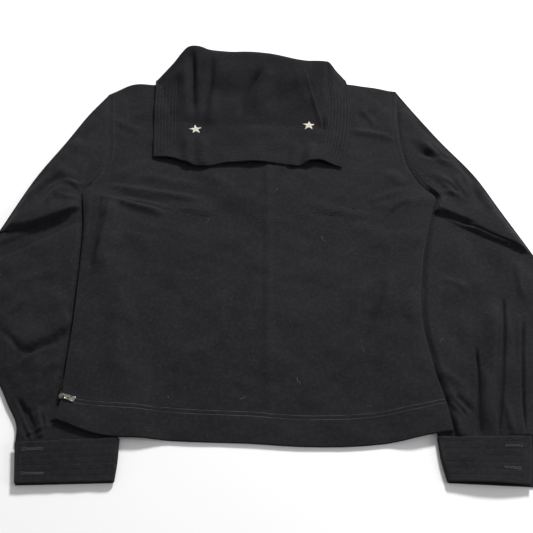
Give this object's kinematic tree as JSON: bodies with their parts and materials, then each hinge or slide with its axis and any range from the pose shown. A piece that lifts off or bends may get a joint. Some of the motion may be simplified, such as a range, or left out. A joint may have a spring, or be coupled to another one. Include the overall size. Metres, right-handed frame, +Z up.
{
  "type": "naval jumper",
  "caption": "Sailor's jumper of heavy woven wool with a square back collar, laid flat on its front, with a side zip and buttoned cuffs.",
  "frame": {"origin": "on the table, under the middle of the garment as it lies flat", "axes": "+Z up from the table, +Y from the hem to the neck, +X across the body towards the wearer's right"},
  "size_m": [0.7678, 0.7375, 0.0363],
  "materials": {
    "wool": "matte",
    "star_thread": "satin",
    "zip_tape": "matte",
    "zip_metal": "aged",
    "button": "gloss"
  },
  "bodies": {
    "jumper": {"front_panel": "wool", "back_panel": "wool", "sleeve_left": "wool", "sleeve_right": "wool", "cuff_left": "wool", "cuff_right": "wool", "collar": "wool", "star_left": "star_thread", "star_right": "star_thread", "side_zip": "zip_tape", "zip_slider": "zip_metal", "button_left_upper": "button", "button_left_lower": "button", "button_right_upper": "button", "button_right_lower": "button"},
    "pull_tab": {"zip_pull": "zip_metal"}
  },
  "joints": [
    {"name": "pull_swing", "type": "hinge", "parent": "jumper", "child": "pull_tab", "pos_m": [-0.238, -0.2525, 0.0138], "axis": [-0.309, -0.9511, 0], "range_deg": [0, 150]}
  ]
}
